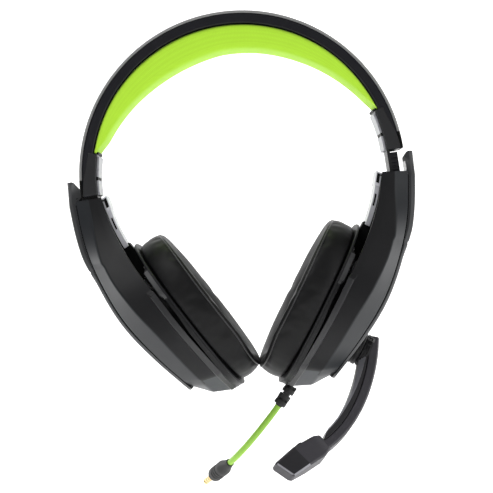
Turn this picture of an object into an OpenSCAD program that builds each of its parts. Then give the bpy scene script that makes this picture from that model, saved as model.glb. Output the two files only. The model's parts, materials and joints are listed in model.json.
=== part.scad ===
// Gaming headset: a half-circle headband with a padded underside, two arms that slide straight
// out of its ends, an ear cup that swivels on each arm, and a boom microphone on the left arm.
//
// Frame: the origin is the centre of the headband's arc, +Z points up through the crown,
// +X to the wearer's left and -Y the way the wearer looks. Millimetres and degrees.
// The left arm carries the microphone and the cable.

/* [Fit] */
// How far the left arm stands out of the band at rest
left_extension = 11.5; // [0:0.5:20]
// How far the right arm stands out of the band at rest
right_extension = 0; // [0:0.5:20]
// Inward set of the left arm on its slider, in degrees
left_set = 6; // [0:0.5:6.5]
// Forward swing of the boom at rest, measured from pointing straight down the cup
boom_forward = 35; // [0:5:60]

/* [Headband] */
// Outer radius of the headband
band_r = 88.4; // [88:0.2:90]
// Radial thickness of the headband
band_t = 6.8; // [6.6:0.1:7.4]
// Half the front-to-back depth of the headband
band_half = 17; // [16:0.5:19]
// Thickness of the head cushion at the crown
pad_t = 13; // [10:0.2:15]
// Angle from the crown to each end of the head cushion
pad_angle = 74; // [66:1:74]

/* [Ear cup] */
// Lean of the cup from the vertical, bottom towards the head
cup_lean = 29.2; // [28:0.1:30]
// Toe of the cup about its own long axis, which turns the pad towards the front
cup_yaw = 3; // [0:0.5:4]
// Half the height of the ear cup
cup_a = 47.5; // [46:0.5:48]
// Half the front-to-back width of the ear cup
cup_b = 40; // [37:0.5:42]
// Thickness of the ear cushion
cushion_t = 13.4; // [12:0.2:15]

/* [Hidden] */
$fn = 64;
gap = 0.2;                       // ordinary clearance between neighbouring parts

// Headband section, as radii from the band's centre
band_in = band_r - band_t;       // inner face
shell_t = 1.5;                   // outer shell
floor_t = 1.3;                   // floor of the channel in the inner frame
channel_in = band_in + floor_t;
channel_out = band_r - shell_t - 0.1;
channel_half = 13.4;
end_angle = 16.4;                // the end housings take this many degrees of the band
end_depth = 2.4;                 // how far they stand in from the band's inner face
solid_angle = 24;                // the frame is solid below this angle, round the sliders

// Sliders, pushed home: a steel strip with a plastic carrier on its outside
strip_x = [79.6, 81.2];
strip_half = 12;
strip_top = 28.4;
carrier_x = [81.25, 85.2];
carrier_half = 10.5;
carrier_top = 10.5;
slider_tail = 14.2;              // how far both reach down into the housing
slider_screws_z = [-6.2, -11];
arm_top = -1.2;                  // flat top of the arm housing, pushed home
set_at = [95, 0, 24];            // centre that the inward set turns about

// The arm, in the cup's own frame: x points outwards, z up along the cup
cup_at = [40, 0, -70.1];     // centre of the baffle, arm pushed home
wall = 2;
neck_half = 15.6;
lip_w = 3.4;                     // width of the raised lip round the housing's mouth
lip_h = 0.9;
steps = 36;                      // stations along the arm

// Side profiles of the arm as [z, x] knots from top to bottom
inner_edge = [[79.0, -0.8], [61.9, 4.4], [44.0, 7.0], [19.4, 7.6], [-5.2, 7.5], [-29.8, 6.3], [-47.8, 5.1]];
crease = [[82.2, 5.4], [64.1, 13.9], [44.6, 21.0], [20.9, 21.9], [-0.7, 19.9], [-42.1, 16.5]];
seat = [[85.4, 11.8], [64.3, 21.7], [44.4, 27.2], [18.7, 30.0], [-6.9, 28.0], [-32.2, 23.7]];
plate_face = [[94.8, 10.2], [82.2, 18], [64.2, 26.2], [44.3, 29.8], [18.6, 31.8], [-6.9, 30.1], [-33.5, 26.5]];
mouth_end = inner_edge[6][0];
crease_end = crease[5][0];
seat_end = seat[5][0];
plate_end = -32.6;
// Half widths of the trim plate as [z, half width] knots
plate_half = [[94.8, 2.4], [89.6, 8], [82.2, 10.6], [64.2, 12.4], [44.3, 16.5], [18.6, 24.5],
    [-1.0, 27], [-20.7, 25.5], [-33.5, 21.5]];
tip_clear = 88.8;                // distance that the trim plate's tip keeps from the band's middle

// Cup internals
pivot = [9, 0, 0];               // swivel axis, in the cup's frame
baffle_t = 3.4;
cushion_low = -1.2;              // the cushion sits a little below the middle of the baffle
front_edge = 2.4;                // rounding of the cushion's front edge, made in steps
chamber_r = 23;
pin_r = 1.5;
pin_clear = 0.05;

// Microphone
hub_at = [29.8, 0, -13];         // centre of the hub's seat on the trim plate, in the cup's frame
hub_r = 9.5;
socket_top = 3;                  // how far the socket stands off the plate
knuckle_x = [3.2, 7.2];          // the boom's knuckle, between the socket and the cover
boom_line = [[-9, 3.4], [12, 11.8], [42, 14.8], [64, 4]]; // Bezier [along, outwards]
head_line = [[59, 7.6], [91, -8.8]];

// Cable and 3.5 mm plug
cable_r = 1.75;
cable_top = [7.4, -4, -48.2];    // where the cable leaves the housing, in the cup's frame
relief_len = 17;
relief_start = 0.3;
cable_line = [[0, 0, -15], [-0.5, 0, -28], [-2, 1, -46], [-4, 18, -55]]; // Bezier below the relief
plug_r = 1.75;

// ---------------------------------------------------------------- helpers

function lerp(a, b, t) = a + (b - a) * t;
function clamp01(t) = min(1, max(0, t));
function smooth(e0, e1, v) = let (t = clamp01((v - e0) / (e1 - e0))) t * t * (3 - 2 * t);
function bezier(p, t) = p[0] * pow(1 - t, 3) + 3 * p[1] * t * pow(1 - t, 2)
    + 3 * p[2] * t * t * (1 - t) + p[3] * pow(t, 3);
function bezier_dir(p, t) = let (d = 3 * pow(1 - t, 2) * (p[1] - p[0])
    + 6 * t * (1 - t) * (p[2] - p[1]) + 3 * t * t * (p[3] - p[2])) d / norm(d);

// Smooth curve through knots [z, value], listed with z falling
function slope(k, i) = let (a = k[max(0, i - 1)], b = k[min(len(k) - 1, i + 1)]) (b[1] - a[1]) / (b[0] - a[0]);
function span(k, z, i = 0) = (i >= len(k) - 2 || z >= k[i + 1][0]) ? i : span(k, z, i + 1);
function through(k, z) = let (
    i = span(k, z), h = k[i + 1][0] - k[i][0], t = (z - k[i][0]) / h)
    (2 * pow(t, 3) - 3 * t * t + 1) * k[i][1] + (pow(t, 3) - 2 * t * t + t) * h * slope(k, i)
    + (3 * t * t - 2 * pow(t, 3)) * k[i + 1][1] + (pow(t, 3) - t * t) * h * slope(k, i + 1);

// Oval outline with half axes a (along z) and b (along y)
function oval(a, b, n = 72, e = 2.35) = [for (i = [0 : n - 1]) let (
    q = 360 * i / n, c = cos(q), s = sin(q))
    [b * sign(c) * pow(abs(c), 2 / e), a * sign(s) * pow(abs(s), 2 / e)]];

// Closed solid over a stack of mirror-symmetric loops: each loop is one side, top to bottom,
// as [x, half width, z]; the other side is its mirror image in y
module stack_solid(loops) {
    m = len(loops[0]);
    n = 2 * m;
    points = [for (l = loops) each concat(l, [for (i = [m - 1 : -1 : 0]) [l[i][0], -l[i][1], l[i][2]]])];
    last = (len(loops) - 1) * n;
    walls = [for (k = [0 : len(loops) - 2]) for (i = [0 : n - 1]) let (
        a = k * n + i, b = k * n + (i + 1) % n, c = a + n, d = b + n) each [[a, b, d], [a, d, c]]];
    caps = [for (i = [0 : m - 2]) let (a = i, b = i + 1, c = n - 2 - i, d = n - 1 - i) each [
        [a, c, b], [a, d, c],
        [last + a, last + b, last + c], [last + a, last + c, last + d]]];
    polyhedron(points, concat(walls, caps));
}

// Closed solid through a list of equal closed sections, with flat ends
module section_solid(sections) {
    n = len(sections[0]);
    points = [for (s = sections) each s];
    last = (len(sections) - 1) * n;
    walls = [for (k = [0 : len(sections) - 2]) for (i = [0 : n - 1]) let (
        a = k * n + i, b = k * n + (i + 1) % n, c = a + n, d = b + n) each [[a, d, b], [a, c, d]]];
    caps = [[for (i = [0 : n - 1]) i], [for (i = [n - 1 : -1 : 0]) last + i]];
    polyhedron(points, concat(walls, caps));
}

// Ring segment about the band's axis: angles from the horizontal on the +X side
module arc_bar(r0, r1, half, from, to, chamfer = 0) {
    c = chamfer;
    rotate([90, 0, 0]) rotate([0, 0, from]) rotate_extrude(angle = to - from, $fn = 180)
        polygon([[r0 + c, -half], [r1 - c, -half], [r1, -half + c], [r1, half - c],
            [r1 - c, half], [r0 + c, half], [r0, half - c], [r0, -half + c]]);
}

module left_slide() translate([0, 0, -left_extension]) children();
module right_slide() mirror([1, 0, 0]) translate([0, 0, -right_extension]) children();
module turn_set(q) translate(set_at) rotate([0, q, 0]) translate(-set_at) children();
module left_arm() left_slide() turn_set(left_set) children();
module right_arm() right_slide() children();
module cup_frame() translate(cup_at) rotate([0, cup_lean, 0]) children();
module toed() cup_frame() translate(pivot) rotate([0, 0, cup_yaw]) translate(-pivot) children();
module facing_in() rotate([0, 90, 0]) rotate([0, 0, 90]) children(); // extrudes along x, drawing in y-z
module oval_disc(a, b, from, to) translate([from, 0, 0]) facing_in()
    linear_extrude(to - from) polygon(oval(a, b));

// ---------------------------------------------------------------- headband

module band_outer_shell() color([0.42, 0.43, 0.44])
    arc_bar(band_r - shell_t, band_r, band_half, 0.2, 179.8, 0.6);

// Room for a slider and its carrier, from below the arm's top up to the slider's end
module slider_space(bottom, clear) {
    translate([strip_x[0] - clear, -strip_half - clear, bottom])
        cube([strip_x[1] - strip_x[0] + 2 * clear, 2 * (strip_half + clear), strip_top + 0.5 - bottom]);
    translate([carrier_x[0] - clear, -carrier_half - clear, bottom])
        cube([carrier_x[1] - carrier_x[0] + 2 * clear, 2 * (carrier_half + clear), carrier_top + 0.5 - bottom]);
}
module both_sides() for (side = [0, 1]) mirror([side, 0, 0]) children();

module band_inner_frame() color([0.07, 0.07, 0.08]) difference() {
    arc_bar(band_in, channel_out, band_half, 0.2, 179.8, 0.5);
    arc_bar(channel_in, channel_out + 1, channel_half, solid_angle, 180 - solid_angle);
    both_sides() {
        slider_space(-2, gap);
        for (y = [-1, 1]) detent_pocket(y);
    }
    screw_shanks(screw_r + 0.02);
}

detent_z = 5.2;
module detent_pocket(y) translate([81.4, y > 0 ? carrier_half : -carrier_half - 1.7, detent_z - 4.2])
    cube([3, 1.7, 8.4]);
module detent_spring() color([0.75, 0.76, 0.78])
    for (y = [-1, 1]) translate([81.6, y * (carrier_half + 1.1), detent_z]) {
        translate([0, -0.2, -3.9]) cube([2.6, 0.4, 7.8]);
        translate([0, -y * 0.45, 0]) rotate([0, 90, 0]) cylinder(r = 0.5, h = 2.6);
    }

module end_housing() color([0.09, 0.09, 0.1]) difference() {
    arc_bar(band_in - end_depth, band_in - 0.05, band_half - 0.5, 0.3, end_angle, 0.8);
    slider_space(-2, gap);
}

module band_spring_steel() color([0.6, 0.62, 0.64])
    arc_bar(channel_in + 0.8, channel_in + 1.5, 9, 30, 150);

module signal_wire() color([0.1, 0.1, 0.1])
    rotate([90, 0, 0]) rotate([0, 0, 35]) rotate_extrude(angle = 110, $fn = 180)
        translate([channel_out - 0.9, 11]) circle(r = 0.7, $fn = 24);

pad_base_t = 0.7;
pad_base_half = 11.5;
module band_pad_base() color([0.15, 0.15, 0.16])
    arc_bar(band_in - 0.05 - pad_base_t, band_in - 0.05, pad_base_half, 24, 156);

pad_end = [sin(pad_angle), cos(pad_angle)] * band_in;
pad_low = band_in - pad_t;
pad_drop = (pad_end * pad_end - pow(pad_low, 2)) / (2 * (pad_low - pad_end[1])); // centre of the pad's face
module band_cushion() color([0.62, 0.86, 0.18]) difference() {
    rotate([90, 0, 0]) linear_extrude(2 * band_half - 1, center = true) intersection() {
        difference() {
            circle(r = band_in - 0.05, $fn = 180);
            translate([0, -pad_drop]) circle(r = pad_low + pad_drop, $fn = 180);
        }
        translate([-100, pad_end[1] + 0.8]) square([200, 100]);
    }
    arc_bar(band_in - 0.1 - pad_base_t, band_in + 1, pad_base_half + 0.05, 23.9, 156.1);
}

screw_r = 0.6;
module screw_shanks(r) for (q = [28, 152]) for (y = [-15.2, 15.2])
    rotate([0, -q, 0]) translate([channel_in, y, 0]) rotate([0, 90, 0])
         cylinder(r = r, h = band_r - shell_t - 0.05 - channel_in);
module band_screws() color([0.7, 0.7, 0.72]) screw_shanks(screw_r);

size_plate_t = 1.2;
size_plate_r = band_in - end_depth - 0.05;
module size_plate() color([0.78, 0.79, 0.8]) difference() {
    arc_bar(size_plate_r - size_plate_t, size_plate_r, 14, 7.4, 15.6, 0.2);
    for (y = [-13.6, 13.6]) translate([75, y, 14]) cube([12, 1, 1], center = true);
}
module end_clip() color([0.78, 0.79, 0.8])
    arc_bar(size_plate_r - size_plate_t, size_plate_r, 14, 0.4, 6.2, 0.2);

// ---------------------------------------------------------------- arms

module slider() color([0.7, 0.71, 0.73]) difference() {
    translate([strip_x[0], -strip_half, -slider_tail])
        cube([strip_x[1] - strip_x[0], 2 * strip_half, slider_tail + strip_top]);
    slider_screw_holes(1.3);
}
module carrier() color([0.09, 0.09, 0.1]) difference() {
    translate([carrier_x[0], -carrier_half, -slider_tail])
        cube([carrier_x[1] - carrier_x[0], 2 * carrier_half, slider_tail + carrier_top]);
    for (z = [-14.8 : 2.5 : 8]) for (y = [-1, 1])
        translate([carrier_x[0] - 1, y * (carrier_half + 0.35), z]) rotate([0, 90, 0]) cylinder(r = 0.7, h = 8);
    slider_screw_holes(1.3);
}
module slider_screw_holes(r) for (z = slider_screws_z)
    translate([strip_x[0] - 0.4, 0, z]) rotate([0, 90, 0]) cylinder(r = r, h = 7.6);
module slider_screws() color([0.7, 0.7, 0.72]) for (z = slider_screws_z) {
    translate([strip_x[0] - 1, 0, z]) rotate([0, 90, 0]) cylinder(r = 1.9, h = 0.95);
    translate([strip_x[0] - 0.2, 0, z]) rotate([0, 90, 0]) cylinder(r = 1.2, h = 7);
}

// Half width of the housing's mouth at height z, and of a layer of it that ends at z_end
function ear_half(z, b, z_end, e) = z < 0
    ? b * pow(max(0, 1 - pow(z / z_end, e)), 1 / e)
    : let (ear = b * pow(max(0, 1 - pow(z / (cup_a + 1), 2.35)), 1 / 2.35), n = neck_half * smooth(-8, 24, z))
        pow(pow(ear, 4) + pow(n, 4), 0.25);
function stations(z_top, z_end) = [for (i = [0 : steps]) let (
    t = i / steps, s = lerp(t, 1 - pow(1 - t, 2), smooth(0.35, 1, t))) lerp(z_top, z_end, s)];
function lip(z) = lip_h * (1 - smooth(18, 25, z));

function rim_loop(x_off, grow, z_end) = [for (z = stations(inner_edge[0][0], z_end))
    [through(inner_edge, z) + x_off, max(1.5, ear_half(z, cup_b, z_end, 2.35) + grow * lip(z) / lip_h), z]];
function crease_loop(inset) = [for (z = stations(crease[0][0] - inset * 0.5, crease_end + inset))
    [through(crease, z) - inset * 0.4, max(1.2, ear_half(z, cup_b - 0.3, crease_end + inset, 2.4) - inset), z]];
function seat_half(z, z_end) = (through(plate_half, z) + 1.1)
    * (z < 0 ? pow(max(0, 1 - pow(z / z_end, 9)), 1 / 9) : 1);
function seat_loop(x_off, inset) = [for (z = stations(seat[0][0] - inset, seat_end + inset))
    [through(seat, z) + x_off, max(1.2, seat_half(z, seat_end + inset) - inset), z]];
function mouth_loop(x_off, inset) = [for (z = stations(inner_edge[0][0] - inset, mouth_end + inset))
    [through(inner_edge, z) + x_off, max(1.2, ear_half(z, cup_b, mouth_end + inset, 2.35) - inset), z]];

module housing() color([0.14, 0.14, 0.15]) difference() {
    cup_frame() stack_solid([
        seat_loop(-wall, wall), crease_loop(wall), mouth_loop(0, wall),
        rim_loop(0, lip_h, mouth_end), rim_loop(lip_w, lip_h, mouth_end + 0.5),
        rim_loop(lip_w + 0.4, 0, mouth_end + 1.2), crease_loop(0), seat_loop(0, 0)]);
    translate([60, -30, collar_end - gap]) cube([60, 60, 40]); // room for the collar
}

// Above the housing the plate thickens inwards, almost to the band
function plate_inner(z) = through(seat, min(z, seat[0][0])) + 0.12 - max(0, z - seat[0][0]) * 0.62
    - 3.6 * smooth(85.4, 88, z);
function plate_stations() = stations(plate_face[0][0], plate_end);
module trim_plate(set, hub = false) color([0.3, 0.31, 0.32]) difference() {
    cup_frame() stack_solid([
        [for (z = plate_stations())
            [min(plate_inner(z), through(plate_face, z) - 0.8), through(plate_half, z), z]],
        [for (z = plate_stations()) [through(plate_face, z) - 0.75, through(plate_half, z), z]],
        [for (z = plate_stations()) [through(plate_face, z) - 0.1, through(plate_half, z) - 1.2, z]],
        [for (z = plate_stations()) [through(plate_face, z) + 0.35, through(plate_half, z) * 0.45, z]]]);
    turn_set(-set) translate([tip_clear - 40, -30, arm_top - 0.3]) cube([40, 60, 30]);
    if (hub) cup_frame() translate(hub_at - [6, 0, 0]) rotate([0, 90, 0]) cylinder(r = hub_r + 0.4, h = 14);
}

// Bright strip on the inside of the neck, with a window at its top
neck_top = 77.8;
neck_end = 51.8;
neck_strip_half = 12;
function neck_band(x_off) = [for (i = [0 : 12]) let (z = lerp(neck_top, neck_end, i / 12))
    [through(inner_edge, z) + x_off, neck_strip_half, z]];
module neck_cut(z, tilt, width, height) cup_frame()
    translate([through(inner_edge, z) - 0.5, 0, z]) rotate([0, tilt, 0]) cube([6, width, height], center = true);
module neck_plate() color([0.8, 0.81, 0.82]) difference() {
    cup_frame() stack_solid([neck_band(-0.1), neck_band(-1.5)]);
    neck_cut(74.6, -22, 2 * neck_strip_half - 3.4, 3.8);
    neck_cut(64, -16, 1.2, 7);
}
cover_screws_at = [[27, 23], [-27, 23], [-27, -23], [27, -23]];  // [z, y] in the cup's frame
cover_x = 12;
cover_t = 1.6;
collar_end = -16.2;               // the collar at the arm's top takes the slider and its screws
collar_side = [[78.4, arm_top], [90.7, arm_top], [91, collar_end], [75.3, collar_end]];
module arm_frame(set) color([0.1, 0.1, 0.11]) difference() {
    union() {
        cover_plate();
        cup_frame() translate([cover_x, -9, 34]) cube([cover_t, 18, 38]);
        rotate([90, 0, 0]) linear_extrude(2 * neck_half - 0.4, center = true) polygon(collar_side);
    }
    turn_set(-set) {
        slider_space(-slider_tail, gap);
        translate([strip_x[0] - 8, -strip_half - gap, -slider_tail - 1]) cube([9, 2 * (strip_half + gap), 30]);
        slider_screw_holes(1.25);
    }
}
module cover_plate() cup_frame() difference() {
    union() {
        oval_disc(cup_a - 8, cup_b - 3.5, cover_x, cover_x + cover_t);
        for (z = [-1, 1]) translate([pivot[0] - 3, -3.5, z * 27.5 - 2]) cube([cover_x - pivot[0] + 3.5, 7, 4]);
    }
    translate([cover_x - 1, 0, 0]) rotate([0, 90, 0]) cylinder(r = chamber_r + 1.5, h = 5);
    translate(pivot - [0, 0, 40]) cylinder(r = pin_r + pin_clear, h = 80);
    for (p = cover_screws_at) translate([cover_x - 1, p[1], p[0]]) rotate([0, 90, 0]) cylinder(r = 1.3, h = 5);
}

module cover_screws() color([0.7, 0.7, 0.72]) cup_frame() for (p = cover_screws_at)
    translate([cover_x, p[1], p[0]]) rotate([0, 90, 0]) {
        translate([0, 0, -1.2]) cylinder(r = 2.1, h = 1.15);
        translate([0, 0, -0.3]) cylinder(r = 1.2, h = 5.4);
    }

// ---------------------------------------------------------------- ear cups

module baffle() color([0.12, 0.12, 0.13]) difference() {
    toed() union() {
        oval_disc(cup_a, cup_b, 0, 1.2);
        difference() {
            oval_disc(cup_a - 1.6, cup_b - 1.6, 1, baffle_t);
            translate([0, -60, 20]) cube([10, 120, 60]);
        }
        intersection() {
            oval_disc(cup_a, cup_b, baffle_t - 1, baffle_t);
            translate([0, -60, -80]) cube([10, 120, 100]);
        }
        intersection() {
            oval_disc(cup_a, cup_b, 1, baffle_t);
            translate([0, -60, -80]) cube([10, 120, 68]);
        }
    }
    toed() translate([-1, 0, 0]) rotate([0, 90, 0]) cylinder(r = 19.5, h = 10);
    toed() translate([1.2, 0, 0]) rotate([0, 90, 0]) cylinder(r = chamber_r + 0.1, h = 10);
}

module back_chamber() color([0.08, 0.08, 0.09]) difference() {
    union() {
        toed() rotate([0, 90, 0]) rotate_extrude() polygon([[0, 13.6], [0, 15.2], [17, 15.2], [chamber_r, 10],
            [chamber_r, 1.25], [chamber_r - 1.5, 1.25], [chamber_r - 1.5, 9.3], [16.4, 13.6]]);
        cup_frame() for (z = [-1, 1])
            translate([pivot[0], 0, z * (chamber_r - 2.2) - 1.3]) cylinder(r = 3, h = 2.6);
    }
    cup_frame() translate(pivot - [0, 0, 40]) cylinder(r = pin_r, h = 80);
}

module trunnion_pins() color([0.8, 0.8, 0.82]) cup_frame() for (z = [-1, 1])
    translate([pivot[0], 0, z * 25 - 4.3]) cylinder(r = pin_r, h = 8.6);

module ear_cushion() color([0.06, 0.06, 0.06]) toed() translate([0, 0, cushion_low]) difference() {
    union() {
        oval_disc(cup_a - 2.4, cup_b - 1.2, front_edge - cushion_t, -0.05);
        oval_disc(cup_a - 2.4 - front_edge, cup_b - 1.2 - front_edge, -cushion_t, -1);
        oval_disc(cup_a - 3.1, cup_b - 1.9, 0.8 - cushion_t, -1);
    }
    oval_disc(28, 21, -cushion_t - 1, 1);
}

module speaker_cloth() color([0.05, 0.05, 0.05]) toed() translate([0, 0, cushion_low])
    oval_disc(27.8, 20.8, -0.9, -0.1);

module driver_frame() color([0.12, 0.12, 0.12]) toed() rotate([0, 90, 0]) rotate_extrude()
    polygon([[17.6, 0.1], [19.4, 0.1], [19.4, 2.4], [14.5, 5.4], [9.2, 5.4], [9.2, 4.4], [14, 4.4], [17.6, 2]]);
module driver_magnet() color([0.55, 0.56, 0.58]) toed() translate([5.5, 0, 0]) rotate([0, 90, 0]) difference() {
    cylinder(r = 11, h = 5);
    translate([0, 0, -1]) cylinder(r = 2, h = 8);
}
module diaphragm() color([0.75, 0.7, 0.5]) toed() rotate([0, 90, 0]) rotate_extrude()
    polygon([[0, 2.6], [5, 2.2], [8, 3.2], [12, 1.4], [15, 1], [17.4, 1.4],
        [17.4, 1.55], [15, 1.2], [12, 1.6], [8, 3.4], [5, 2.4], [0, 2.8]]);

// ---------------------------------------------------------------- microphone

module hub_frame() cup_frame() translate(hub_at) children();
module boom_frame() hub_frame() rotate([-boom_forward, 0, 0]) children();

module mic_socket() color([0.05, 0.05, 0.05]) hub_frame() rotate([0, 90, 0]) difference() {
    translate([0, 0, -1.2]) cylinder(r = hub_r, h = socket_top + 1.2);
    translate([0, 0, -3]) cylinder(r = 3.05, h = 12);
}

// Section of the boom across its line, from the share lo to the share hi of its half width
boom_n = 22;
function boom_half_o(t) = lerp(5.0, 4.3, t);
function boom_half_q(t) = lerp(6.2, 4.6, t);
function boom_part(lo, hi) = [for (i = [0 : boom_n]) let (
    t = i / boom_n, p = bezier(boom_line, t), d = bezier_dir(boom_line, t),
    w = boom_half_o(t), q = boom_half_q(t), c = lerp(3.2, 0.8, smooth(0, 0.75, t)),
    a = lo * w, b = hi * w, cl = lo < -0.9 ? c : 0.3, ch = hi > 0.9 ? 1.1 : 0.3)
    [for (s = [[a, q - cl * 0.35], [a + cl * 0.35, q], [b - ch, q], [b, q - ch],
        [b, -q + ch], [b - ch, -q], [a + cl, -q], [a, -q + cl * 1.3]])
        [p[1] + s[0] * d[0], s[1], -p[0] + s[0] * d[1]]]];

module boom_shell() color([0.13, 0.13, 0.14]) boom_frame() difference() {
    union() {
        difference() {
            section_solid(boom_part(-1, -0.15));
            socket_clear();
        }
        translate([knuckle_x[0], 0, 0]) rotate([0, 90, 0])
            cylinder(r = hub_r - 0.5, h = knuckle_x[1] - knuckle_x[0]);
        translate([-1, 0, 0]) rotate([0, 90, 0]) cylinder(r = 3, h = 6);
    }
    translate([-2, 0, 0]) rotate([0, 90, 0]) cylinder(r = 1.25, h = 14);
}
// Room round the socket, in which the boom's upper end swings
module socket_clear() translate([-6, 0, 0]) rotate([0, 90, 0])
    cylinder(r = hub_r + 0.3, h = 6 + socket_top + 0.15);
module boom_cover() color([0.2, 0.2, 0.21]) boom_frame() difference() {
    section_solid(boom_part(-0.13, 1));
    socket_clear();
    rotate([0, 90, 0]) cylinder(r = hub_r - 0.4, h = knuckle_x[1] + 0.1);
    rotate([0, 90, 0]) cylinder(r = 2.6, h = 9.4);
}
module boom_screw() color([0.7, 0.7, 0.72]) boom_frame() rotate([0, 90, 0]) {
    translate([0, 0, knuckle_x[1] + 0.05]) cylinder(r = 2.3, h = 1.4);
    translate([0, 0, -0.9]) cylinder(r = 1.2, h = knuckle_x[1] + 1);
}

head_dir = (head_line[1] - head_line[0]) / norm(head_line[1] - head_line[0]);
head_len = norm(head_line[1] - head_line[0]);
// Stations of the head as [distance, inner side, outer side, front, back]
head_shape = [[0, -3.6, 4.4, -4.6, 4.8], [2.5, -5.8, 4.5, -5.6, 5.6], [16, -6, 4.7, -6.2, 6],
    [head_len, -5, 5, -3, 5]];
module mic_head() color([0.15, 0.15, 0.16]) boom_frame() difference() {
    section_solid([for (h = head_shape) let (p = head_line[0] + head_dir * h[0], c = 1)
        [for (s = [[h[1], h[4] - c], [h[1] + c, h[4]], [h[2] - c, h[4]], [h[2], h[4] - c],
            [h[2], h[3] + c], [h[2] - c, h[3]], [h[1] + c, h[3]], [h[1], h[3] + c]])
            [p[1] + s[0] * head_dir[0], s[1], -p[0] + s[0] * head_dir[1]]]]);
    head_at(20) translate([-9, 0, 0]) rotate([0, 90, 0]) cylinder(r = 3.1, h = 9);
    section_solid(boom_clear());
}
module head_at(d) translate([(head_line[0] + head_dir * d)[1], 0, -(head_line[0] + head_dir * d)[0]])
    rotate([0, atan2(-head_dir[1], head_dir[0]), 0]) children();
// Room for the boom's end inside the head
function boom_clear() = [for (i = [boom_n - 4 : boom_n]) let (
    t = i / boom_n, p = bezier(boom_line, t), d = bezier_dir(boom_line, t))
    [for (s = [[-4.6, 4.9], [4.6, 4.9], [4.6, -4.9], [-4.6, -4.9]])
        [p[1] + s[0] * d[0], s[1], -p[0] + s[0] * d[1]]]];
module capsule_disc(x, h) boom_frame() head_at(20) translate([x, 0, 0]) rotate([0, 90, 0]) cylinder(r = 3, h = h);
module mic_capsule() color([0.6, 0.6, 0.6]) capsule_disc(-5, 4.5);
module mic_grille() color([0.5, 0.5, 0.5]) capsule_disc(-7.2, 1);

// ---------------------------------------------------------------- cable

module cable_frame() cup_frame() translate(cable_top) rotate([-4, 0, 0]) rotate([0, 8, 0]) children();
module strain_relief() color([0.05, 0.05, 0.05]) cable_frame() rotate([180, 0, 0]) difference() {
    union() {
        translate([0, 0, relief_start]) cylinder(r = 2.9, h = relief_len - 1 - relief_start);
        for (i = [0 : 2]) translate([0, 0, 2.2 + 4.9 * i]) cylinder(r = 3.4, h = 3.2);
    }
    translate([0, 0, -7]) cylinder(r = cable_r + 0.05, h = relief_len + 9);
}
cable_n = 18;
module cable() color([0.6, 0.85, 0.2]) cable_frame() section_solid([for (i = [0 : cable_n]) let (
    t = i / cable_n, d = bezier_dir(cable_line, t), c = cross(d, [1, 0, 0]), m = c / norm(c), w = cross(d, m))
    [for (k = [0 : 15]) let (q = k * 22.5) bezier(cable_line, t) + cable_r * (cos(q) * m + sin(q) * w)]]);

plug_dir = bezier_dir(cable_line, 1);
module plug_frame() cable_frame() translate(cable_line[3])
    rotate([0, acos(plug_dir[2]), atan2(plug_dir[1], plug_dir[0])]) children();
module plug_body() color([0.06, 0.06, 0.06]) plug_frame() rotate_extrude()
    polygon([[0, 0.1], [2.6, 0.1], [3.6, 4], [4.2, 6], [4.2, 20], [3.6, 21], [0, 21]]);
// Contact bands of a four-pole 3.5 mm plug: [start, end] from the body's face
contact_bands = [[0, 5.2], [5.8, 7.9], [8.5, 10.4]];
module plug_contacts() color([0.85, 0.7, 0.35]) plug_frame() translate([0, 0, 21.05]) {
    for (b = contact_bands) translate([0, 0, b[0]]) cylinder(r = plug_r, h = b[1] - b[0]);
    translate([0, 0, 11]) rotate_extrude()
        polygon([[0, 0], [plug_r, 0], [1.3, 0.9], [1.7, 1.9], [0.6, 3], [0, 3]]);
}
module plug_insulators() color([0.1, 0.1, 0.1]) plug_frame() translate([0, 0, 21.05])
    for (g = [[5.2, 5.8], [7.9, 8.5], [10.4, 11]])
        translate([0, 0, g[0] + 0.01]) cylinder(r = plug_r, h = g[1] - g[0] - 0.02);

module terminal_board() color([0.1, 0.35, 0.15]) cup_frame() translate([14.5, -9, -36]) cube([1.2, 18, 9]);

// ---------------------------------------------------------------- nodes

band_outer_shell();
band_inner_frame();
band_spring_steel();
band_pad_base();
band_cushion();
band_screws();
signal_wire();
end_housing();  // left_end_housing
mirror([1, 0, 0]) end_housing();  // right_end_housing
size_plate();  // left_size_plate
end_clip();  // left_end_clip
detent_spring();  // left_detent_spring
mirror([1, 0, 0]) size_plate();  // right_size_plate
mirror([1, 0, 0]) end_clip();  // right_end_clip
mirror([1, 0, 0]) detent_spring();  // right_detent_spring
left_slide() slider();  // left_slider
left_slide() carrier();  // left_carrier
left_arm() housing();  // left_housing
left_arm() trim_plate(left_set, true);  // left_trim_plate
left_arm() neck_plate();  // left_neck_plate
left_arm() arm_frame(left_set);  // left_arm_frame
left_arm() cover_screws();  // left_cover_screws
left_slide() slider_screws();  // left_slider_screws
left_arm() mic_socket();  // left_mic_socket
right_slide() slider();  // right_slider
right_slide() carrier();  // right_carrier
right_arm() housing();  // right_housing
right_arm() trim_plate(0);  // right_trim_plate
right_arm() neck_plate();  // right_neck_plate
right_arm() arm_frame(0);  // right_arm_frame
right_arm() cover_screws();  // right_cover_screws
right_slide() slider_screws();  // right_slider_screws
left_arm() baffle();  // left_baffle
left_arm() back_chamber();  // left_back_chamber
left_arm() trunnion_pins();  // left_trunnion_pins
left_arm() ear_cushion();  // left_ear_cushion
left_arm() speaker_cloth();  // left_speaker_cloth
left_arm() driver_frame();  // left_driver_frame
left_arm() driver_magnet();  // left_driver_magnet
left_arm() diaphragm();  // left_diaphragm
right_arm() baffle();  // right_baffle
right_arm() back_chamber();  // right_back_chamber
right_arm() trunnion_pins();  // right_trunnion_pins
right_arm() ear_cushion();  // right_ear_cushion
right_arm() speaker_cloth();  // right_speaker_cloth
right_arm() driver_frame();  // right_driver_frame
right_arm() driver_magnet();  // right_driver_magnet
right_arm() diaphragm();  // right_diaphragm
left_arm() boom_shell();
left_arm() boom_cover();
left_arm() boom_screw();
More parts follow.
